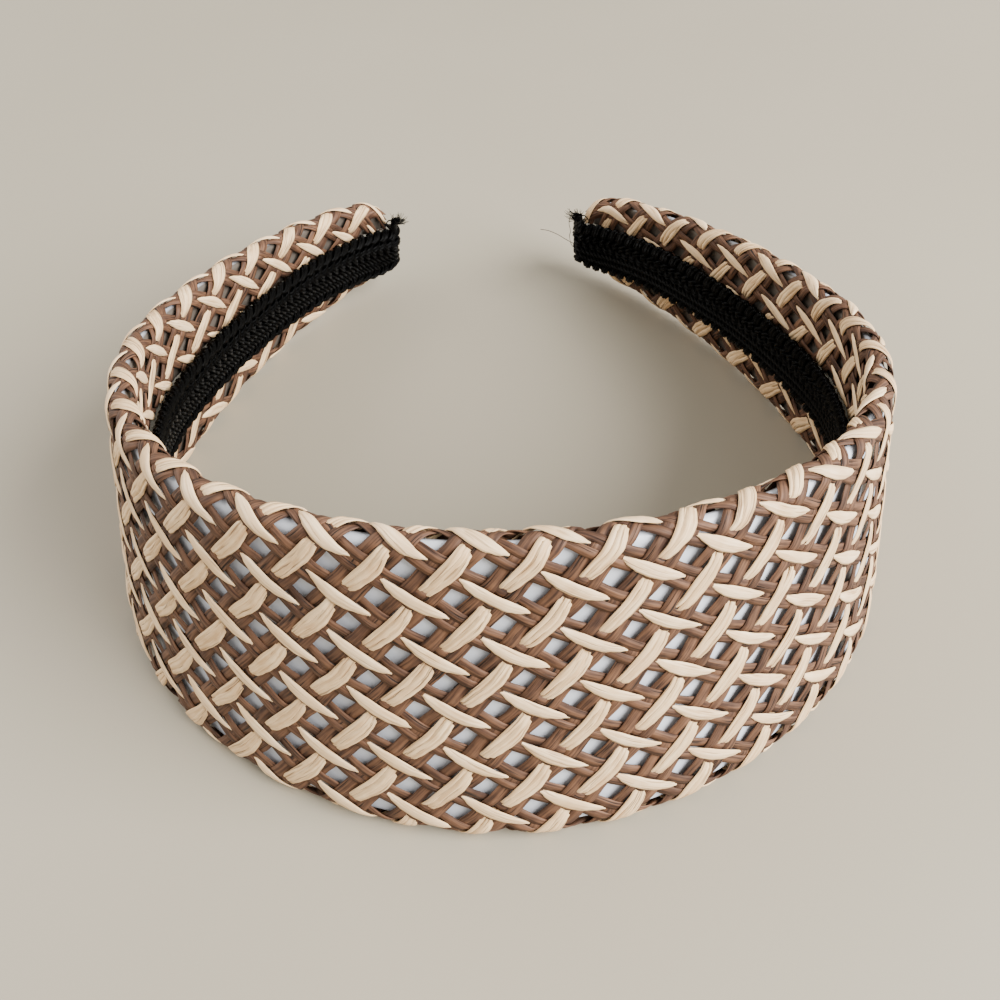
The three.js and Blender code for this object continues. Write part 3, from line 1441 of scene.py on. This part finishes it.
@dataclass
class FrayedEnds:
    """The frayed tuft at the upper corner of each tip, and the loose threads beside the tips."""

    braid: BraidTrim
    base: float = 5.8
    height: float = 3.9
    overhang: float = 0.1
    steps: int = 12
    cords: int = 6
    cord_radius: float = 0.34
    cord_taper: float = 0.3
    cord_turns: float = 0.7
    cord_lean: tuple[float, float] = (0.2, 0.7)
    cord_sides: int = 6
    bundle_radius: float = 0.70
    bundle_waist: float = 0.25
    bundle_lift: float = 0.2
    fibres: int = 150
    fibre_radius: float = 0.07
    fibre_taper: float = 0.4
    fibre_start: tuple[float, float] = (0.2, 0.6)
    fibre_roots: tuple[float, float] = (0.55, 0.95)
    fibre_least: tuple[float, float, float] = (-1.3, -0.6, -0.2)
    fibre_most: tuple[float, float, float] = (1.5, 1.9, 2.3)
    fibre_droop: float = 1.3
    fibre_waves: float = 3.0
    fibre_wave: tuple[float, float] = (0.3, 0.15)
    fibre_sides: int = 3
    bow_length: float = 3.0
    bow_rise: float = 0.9
    bow_fall: float = 1.2
    bow_root: float = 0.8
    bow_lift: tuple[float, float] = (0.4, 0.3)
    bow_radius: float = 0.17
    bow_taper: float = 0.35
    loose_start: float = 1.5
    loose_steps: int = 12
    loose_sides: int = 4
    seed: int = 23

    ASIDE = (0.31, 0.52, 0.79)

    def _curl(self, pile: MeshPile, points: np.ndarray, radius: np.ndarray | float, seed: float,
              sides: int) -> None:
        """Adds a thin round thread along points in the row frame.

        Args:
            pile: What it is added to.
            points: The thread's line.
            radius: Its radius, one for all or one for each point.
            seed: A number that sets its texture apart.
            sides: How many sides it has.
        """
        rings = rings_round(points, radius, sides, self.ASIDE)
        pile.sweep(rings, thread_places(points, sides, seed))

    def _spray(self, pile: MeshPile, side: int, chance: np.random.RandomState) -> None:
        """Adds one tip's tuft: a bundle of cords, the fibres out of its end, and one bent cord.

        Args:
            pile: What it is added to.
            side: -1 for the left tip, 1 for the right.
            chance: The source of random numbers.
        """
        over = self.braid.shape.half_length + self.overhang
        part = np.linspace(0, 1, self.steps)
        thick = self.bundle_radius - self.bundle_waist * np.sin(math.pi * part)
        lean_out, lean_off = self.cord_lean
        for number in range(self.cords):
            twist = math.tau * (self.cord_turns * part + number / self.cords)
            points = self.braid.points(
                side * (over + thick * np.cos(twist) + lean_out * part),
                self.base + self.height * part,
                self.bundle_lift + thick * np.sin(twist) + lean_off * part**2,
            )
            radius = self.cord_radius * (1 - self.cord_taper * part)
            self._curl(pile, points, radius, chance.uniform(), self.cord_sides)
        start_out, start_off = self.fibre_start
        wave_out, wave_off = self.fibre_wave
        for _ in range(self.fibres):
            root = self.height * chance.uniform(*self.fibre_roots)
            run, rise, off = chance.uniform(self.fibre_least, self.fibre_most)
            wave = np.sin(self.fibre_waves * part + chance.uniform(0, math.tau)) * part
            points = self.braid.points(
                side * (over + start_out + run * part + wave_out * wave),
                self.base + root + rise * part**self.fibre_droop - wave_out * wave,
                start_off + off * part + wave_off * wave,
            )
            radius = self.fibre_radius * (1 - self.fibre_taper * part)
            self._curl(pile, points, radius, chance.uniform(), self.fibre_sides)
        rise = self.bow_rise * np.sin(math.pi * part) - self.bow_fall * part
        bow = self.braid.points(
            side * (over - self.bow_length * part),
            self.base + self.height * self.bow_root + rise,
            self.bow_lift[0] + self.bow_lift[1] * part,
        )
        radius = self.bow_radius * (1 - self.bow_taper * part)
        self._curl(pile, bow, radius, chance.uniform(), self.cord_sides)

    def build(self, finish: ThreadFinish, loose: ThreadFinish) -> None:
        """Builds the tufts and the loose threads, and hands them over.

        Args:
            finish: The black thread's finish.
            loose: The loose threads' finish.
        """
        chance = np.random.RandomState(self.seed)
        tufts = MeshPile()
        for side in (-1, 1):
            self._spray(tufts, side, chance)
        hand_over(tufts.make("braid_frayed_tufts", finish.build()), "black_braid", "braid_trim")
        threads = MeshPile()
        for line in self._loose_lines():
            self._curl(threads, line, self.fibre_radius, chance.uniform(), self.loose_sides)
        hand_over(threads.make("loose_threads", loose.build()), "black_braid", "braid_trim")

    def _loose_lines(self) -> list[np.ndarray]:
        """The middle lines of the loose threads.

        Returns:
            Points in the row frame for each thread, in millimetres.
        """
        braid = self.braid
        end = braid.shape.half_length + braid.turns()[0] + self.loose_start
        knots = (
            # A small ring at the left tip's lower corner.
            (-1, ((0.0, -4.6, 0.2), (0.3, -5.4, 1.0), (0.6, -6.2, 1.5), (0.2, -6.6, 1.0),
                  (-0.3, -6.1, 0.4), (-0.2, -5.0, 0.1))),
            # Two long wisps off the right tip.
            (1, ((0.0, -3.5, 0.3), (0.2, -5.0, 1.4), (0.2, -3.8, 2.4), (0.1, -0.8, 2.7),
                 (0.0, 1.5, 2.4), (0.2, 4.0, 2.8), (0.1, 6.4, 2.5))),
            (1, ((0.0, -3.6, 0.2), (0.2, -3.3, 2.0), (0.5, -2.8, 3.8), (0.6, -1.6, 6.2),
                 (0.8, -1.2, 8.6), (0.9, -1.5, 10.6))),
        )
        lines = []
        for side, places in knots:
            marks = np.array(places, float)
            gaps = len(marks) - 1
            fine = np.linspace(0, gaps, self.loose_steps * gaps + 1)
            over, height, lift = (self._smooth(fine, marks[:, i]) for i in range(3))
            lines.append(braid.points(side * (end + over), height, lift))
        return lines

    @staticmethod
    def _smooth(at: np.ndarray, marks: np.ndarray) -> np.ndarray:
        """A smooth curve through evenly numbered marks.

        Args:
            at: Where the curve is wanted, counted in marks.
            marks: The values that it goes through.

        Returns:
            One value for each place.
        """
        padded = np.concatenate([[2 * marks[0] - marks[1]], marks, [2 * marks[-1] - marks[-2]]])
        number = np.minimum(at.astype(int), len(marks) - 2)
        t = at - number
        p0, p1, p2, p3 = (padded[number + i] for i in range(4))
        return 0.5 * (2 * p1 + (p2 - p0) * t + (2 * p0 - 5 * p1 + 4 * p2 - p3) * t**2
                      + (3 * p1 - p0 - 3 * p2 + p3) * t**3)


# ---------------------------------------------------------------------------------------------
# The stage
# ---------------------------------------------------------------------------------------------


@dataclass
class Stage:
    """The floor, the lights and the camera."""

    floor_half: float = 3.0
    key_place: tuple[float, float, float] = (0.80, -0.34, 0.66)
    light_size: float = 0.85
    key_power: float = 49.0
    fill_place: tuple[float, float, float] = (-0.74, 0.26, 0.44)
    fill_power: float = 8.0
    sky_strength: float = 0.76
    sky: Colour = (1.0, 0.97, 0.92, 1.0)
    azimuth: float = -3.06
    elevation: float = 50.815
    roll: float = 0.35
    distance: float = 0.20195
    target: tuple[float, float, float] = (-0.00011, -0.00258, 0.0)
    lens: float = 36.0
    sensor: float = 36.0
    nearest: float = 0.01

    def build(self, floor: FloorFinish) -> None:
        """Makes the whole stage.

        Args:
            floor: The floor's finish.
        """
        self._floor(floor)
        self._light("key_light", self.key_place, self.key_power)
        self._light("fill_light", self.fill_place, self.fill_power)
        self._sky()
        self._camera()

    def _floor(self, finish: FloorFinish) -> None:
        """Makes the floor.

        Args:
            finish: Its finish.
        """
        half = self.floor_half
        mesh = bpy.data.meshes.new("floor")
        corners = [(-half, -half, 0), (half, -half, 0), (half, half, 0), (-half, half, 0)]
        mesh.from_pydata(corners, [], [(0, 1, 2, 3)])
        mesh.materials.append(finish.build())
        thing = bpy.data.objects.new("floor", mesh)
        bpy.context.scene.collection.objects.link(thing)

    def _light(self, name: str, place: tuple[float, float, float], power: float) -> None:
        """Makes one soft square light that shines at the band.

        Args:
            name: The light's name.
            place: Where it is.
            power: Its power in watts.
        """
        lamp = bpy.data.lights.new(name, "AREA")
        lamp.size = self.light_size
        lamp.energy = power
        thing = bpy.data.objects.new(name, lamp)
        thing.location = place
        thing.rotation_euler = (-Vector(place)).to_track_quat("-Z", "Y").to_euler()
        bpy.context.scene.collection.objects.link(thing)

    def _sky(self) -> None:
        """Makes an even, faintly warm light from all round."""
        world = bpy.data.worlds.new("soft_room")
        world.use_nodes = True
        back = world.node_tree.nodes["Background"]
        back.inputs["Color"].default_value = self.sky
        back.inputs["Strength"].default_value = self.sky_strength
        bpy.context.scene.world = world

    def _camera(self) -> None:
        """Makes the camera."""
        camera = bpy.data.cameras.new("camera")
        camera.lens = self.lens
        camera.sensor_width = self.sensor
        camera.clip_start = self.nearest
        a, e = math.radians(self.azimuth), math.radians(self.elevation)
        back = Vector((math.sin(a) * math.cos(e), -math.cos(a) * math.cos(e), math.sin(e)))
        turn = (-back).to_track_quat("-Z", "Y").to_matrix() @ Matrix.Rotation(
            math.radians(self.roll), 3, "Z"
        )
        thing = bpy.data.objects.new("camera", camera)
        thing.matrix_world = Matrix.Translation(
            Vector(self.target) + back * self.distance
        ) @ turn.to_4x4()
        bpy.context.scene.collection.objects.link(thing)
        bpy.context.scene.camera = thing


CREAM_STRAW = StrawFinish(
    "cream_straw", light=tone(244, 214, 172), mid=tone(213, 176, 131), seam=tone(142, 100, 64),
    roughness=0.5, seam_strength=0.5, contrast=0.20,
)
SPLIT_CREAM_STRAW = StrawFinish(
    "split_cream_straw", light=tone(240, 208, 163), mid=tone(202, 163, 118),
    seam=tone(112, 78, 52), roughness=0.5, seam_strength=0.7, contrast=0.18,
)
BROWN_STRAW = StrawFinish(
    "brown_straw", light=tone(114, 80, 57), mid=tone(52, 32, 22), seam=tone(19, 10, 5),
    roughness=0.6, seam_strength=0.95, contrast=0.15,
)
# The inner tone is painted shade for the core's inner face.
WHITE_PLASTIC = PlasticFinish(
    "white_plastic", colour=tone(216, 219, 226), worn=tone(198, 202, 211),
    inner=tone(90, 82, 74), roughness=0.3,
)
BLACK_THREAD = ThreadFinish(
    "black_thread", dark=tone(0, 0, 0), lit=tone(3, 3, 7), roughness=0.20, gloss=0.10,
)
LOOSE_THREAD = ThreadFinish(
    "loose_thread", dark=tone(66, 50, 40), lit=tone(110, 88, 70), roughness=0.5, gloss=0.3,
)
CLEAR_GLUE = GlueFinish(
    "clear_glue", colour=tone(228, 223, 207), bubble=tone(250, 248, 240), roughness=0.15,
)
PALE_FLOOR = FloorFinish(
    "pale_floor", colour=tone(158, 149, 131), shade=tone(150, 141, 122), roughness=0.45,
)


def dress_glue(finish: GlueFinish) -> None:
    """Gives the two lines of glue their look, where they are.

    Args:
        finish: The glue's finish.
    """
    look = finish.build()
    for name in ("glue_line_upper", "glue_line_lower"):
        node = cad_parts[name]
        node.data.materials.clear()
        node.data.materials.append(look)
        LOG.info("%s keeps its place and gets %s", name, look.name)


def main() -> None:
    """Builds the headband piece by piece, and the stage round it."""
    logging.basicConfig(level=logging.INFO, format="%(name)s %(message)s")
    shape = BandShape()
    Stage().build(PALE_FLOOR)
    CoreBand(shape).build(WHITE_PLASTIC)
    WovenCover(shape, Weave()).build(CREAM_STRAW, SPLIT_CREAM_STRAW, BROWN_STRAW)
    braid = BraidTrim(shape)
    braid.build(BLACK_THREAD)
    FrayedEnds(braid).build(BLACK_THREAD, LOOSE_THREAD)
    dress_glue(CLEAR_GLUE)


if __name__ == "__main__":
    main()
